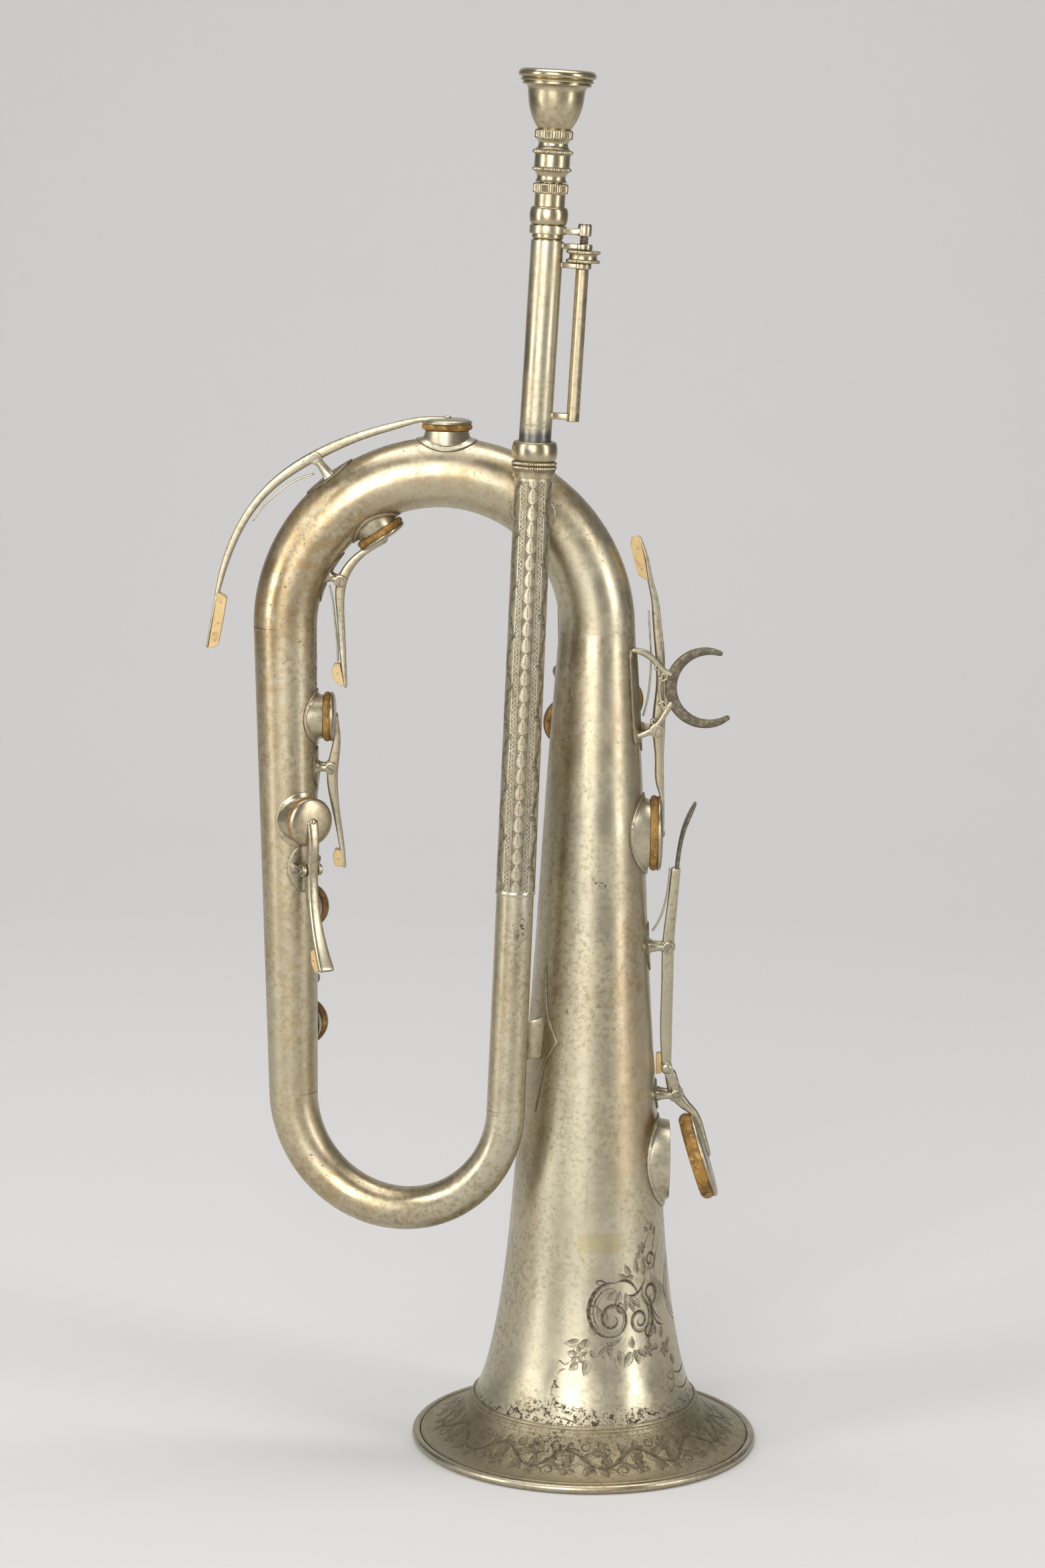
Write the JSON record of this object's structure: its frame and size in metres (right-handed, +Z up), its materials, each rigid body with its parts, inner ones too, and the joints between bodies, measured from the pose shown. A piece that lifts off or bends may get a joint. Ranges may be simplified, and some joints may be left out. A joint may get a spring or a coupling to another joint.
{
  "type": "keyed bugle",
  "caption": "Keyed bugle with a folded conical tube, sprung keys with leather pads, a screw tuning slide, a finger crescent and a flared bell.",
  "frame": {"origin": "centre of the bell's mouth, on the plane that the rim wire rests on", "axes": "+Z up the bell's axis from mouth to throat, +X towards the finger crescent and bell key, -Y towards the mouthpipe"},
  "size_m": [0.1913, 0.12, 0.4719],
  "materials": {
    "german_silver": "aged German silver, satin with brown tarnish",
    "engraved_silver": "engraved and darkened German silver",
    "leather": "golden brown leather",
    "ivory": "worn ivory, satin",
    "spring_steel": "dull spring metal",
    "screw_steel": "dull turned metal"
  },
  "bodies": {
    "root": {"bell": "german_silver", "left_branch": "german_silver", "top_bow": "german_silver", "bottom_bow": "german_silver", "mouthpipe": "german_silver", "garland": "engraved_silver", "rim_wire": "german_silver", "engraved_sleeve": "engraved_silver", "receiver_collar": "german_silver", "tuning_outer_tube": "german_silver", "wheel_brackets": "german_silver", "screw_guide": "german_silver", "top_bow_chimneys": "german_silver", "left_branch_chimneys": "german_silver", "bell_chimneys": "german_silver", "top_bow_saddles": "german_silver", "left_branch_saddles": "german_silver", "bell_saddles": "german_silver", "hinge_screws": "screw_steel", "finger_crescent": "german_silver", "crescent_plate": "german_silver", "lower_brace": "german_silver", "upper_brace": "german_silver"},
    "key_1": {"key_1_lever": "german_silver", "key_1_pad": "leather", "key_1_ivory": "ivory", "key_1_spring": "spring_steel"},
    "key_2": {"key_2_lever": "german_silver", "key_2_pad": "leather", "key_2_ivory": "ivory", "key_2_spring": "spring_steel"},
    "key_3": {"key_3_lever": "german_silver", "key_3_pad": "leather", "key_3_ivory": "ivory"},
    "key_4": {"key_4_lever": "german_silver", "key_4_pad": "leather", "key_4_ivory": "ivory"},
    "key_5": {"key_5_lever": "german_silver", "key_5_pad": "leather"},
    "key_6": {"key_6_lever": "german_silver", "key_6_pad": "leather", "key_6_ivory": "ivory", "key_6_spring": "spring_steel"},
    "key_8": {"key_8_lever": "german_silver", "key_8_pad": "leather"},
    "key_9": {"key_9_lever": "german_silver", "key_9_pad": "leather"},
    "key_10": {"key_10_lever": "german_silver", "key_10_pad": "leather"},
    "bell_key_touch": {"bell_key_touch_lever": "german_silver", "bell_key_spring": "spring_steel", "bell_key_stop": "ivory"},
    "bell_key_cup": {"bell_key_cup_lever": "german_silver", "bell_key_pad": "leather"},
    "tuning_wheel": {"tuning_wheel": "german_silver"},
    "tuning_slide": {"tuning_inner_tube": "german_silver", "clamp_ring": "german_silver", "tuning_rod": "screw_steel"},
    "mouthpiece": {"mouthpiece": "german_silver"}
  },
  "joints": [
    {"name": "key_1_hinge", "type": "hinge", "parent": "root", "child": "key_1", "pos_m": [-0.0956, 0, 0.3422], "axis": [0, -1, 0], "range_deg": [0, 6], "stiffness_Nm_per_rad": 0.03, "springref_deg": -20.05, "deforming": ["key_1_spring"]},
    {"name": "key_2_hinge", "type": "hinge", "parent": "root", "child": "key_2", "pos_m": [-0.087, 0, 0.3009], "axis": [0, 1, 0], "range_deg": [0, 6.5], "stiffness_Nm_per_rad": 0.03, "springref_deg": -20.05, "deforming": ["key_2_spring"]},
    {"name": "key_3_hinge", "type": "hinge", "parent": "root", "child": "key_3", "pos_m": [-0.0899, 0, 0.2369], "axis": [0, 1, 0], "range_deg": [0, 8.5], "stiffness_Nm_per_rad": 0.03, "springref_deg": -20.05},
    {"name": "key_4_hinge", "type": "hinge", "parent": "root", "child": "key_4", "pos_m": [-0.09603, -0.01258, 0.2034], "axis": [0.8387, 0.5446, 0], "range_deg": [0, 12], "stiffness_Nm_per_rad": 0.03, "springref_deg": -20.05},
    {"name": "key_5_hinge", "type": "hinge", "parent": "root", "child": "key_5", "pos_m": [-0.09875, 0.01358, 0.1604], "axis": [0.9563, -0.2924, 0], "range_deg": [0, 11], "stiffness_Nm_per_rad": 0.03, "springref_deg": -20.05},
    {"name": "key_6_hinge", "type": "hinge", "parent": "root", "child": "key_6", "pos_m": [0.0206, 0, 0.2518], "axis": [0, -1, 0], "range_deg": [0, 1.8], "stiffness_Nm_per_rad": 0.03, "springref_deg": -20.05, "deforming": ["key_6_spring"]},
    {"name": "key_8_hinge", "type": "hinge", "parent": "root", "child": "key_8", "pos_m": [0.00939, 0.01766, 0.242], "axis": [-0.8829, 0.4695, 0], "range_deg": [0, 9], "stiffness_Nm_per_rad": 0.03, "springref_deg": -20.05},
    {"name": "key_9_hinge", "type": "hinge", "parent": "root", "child": "key_9", "pos_m": [-0.01049, 0.01679, 0.2685], "axis": [0.848, 0.5299, 0], "range_deg": [0, 9], "stiffness_Nm_per_rad": 0.03, "springref_deg": -20.05},
    {"name": "key_10_hinge", "type": "hinge", "parent": "root", "child": "key_10", "pos_m": [-0.09861, 0.01372, 0.2024], "axis": [0.9397, -0.342, 0], "range_deg": [0, 9], "stiffness_Nm_per_rad": 0.03, "springref_deg": -20.05},
    {"name": "bell_key_cup_hinge", "type": "hinge", "parent": "root", "child": "bell_key_cup", "pos_m": [0.03, 0, 0.124], "axis": [0, 1, 0], "range_deg": [0, 18]},
    {"name": "bell_key_touch_hinge", "type": "hinge", "parent": "root", "child": "bell_key_touch", "pos_m": [0.0262, 0, 0.1761], "axis": [0, -1, 0], "range_deg": [0, 4.23], "stiffness_Nm_per_rad": 0.06, "springref_deg": -20.05, "deforming": ["bell_key_spring"]},
    {"name": "tuning_wheel_turn", "type": "hinge", "parent": "root", "child": "tuning_wheel", "pos_m": [-0.0071, -0.022, 0.4111], "axis": [0.0479, 0, 0.9988], "range_deg": [0, 10800]},
    {"name": "tuning_slide_travel", "type": "slide", "parent": "root", "child": "tuning_slide", "axis": [0.0479, 0, 0.9988], "range_m": [0, 0.03]},
    {"name": "mouthpiece_pull", "type": "slide", "parent": "tuning_slide", "child": "mouthpiece", "axis": [0.0479, 0, 0.9988], "range_m": [0, 0.025]}
  ],
  "couplings": [
    {"joint": "bell_key_touch_hinge", "follows": "bell_key_cup_hinge", "ratio": 0.23522},
    {"joint": "tuning_wheel_turn", "follows": "tuning_slide_travel", "rad_per_m": 6283.2}
  ]
}
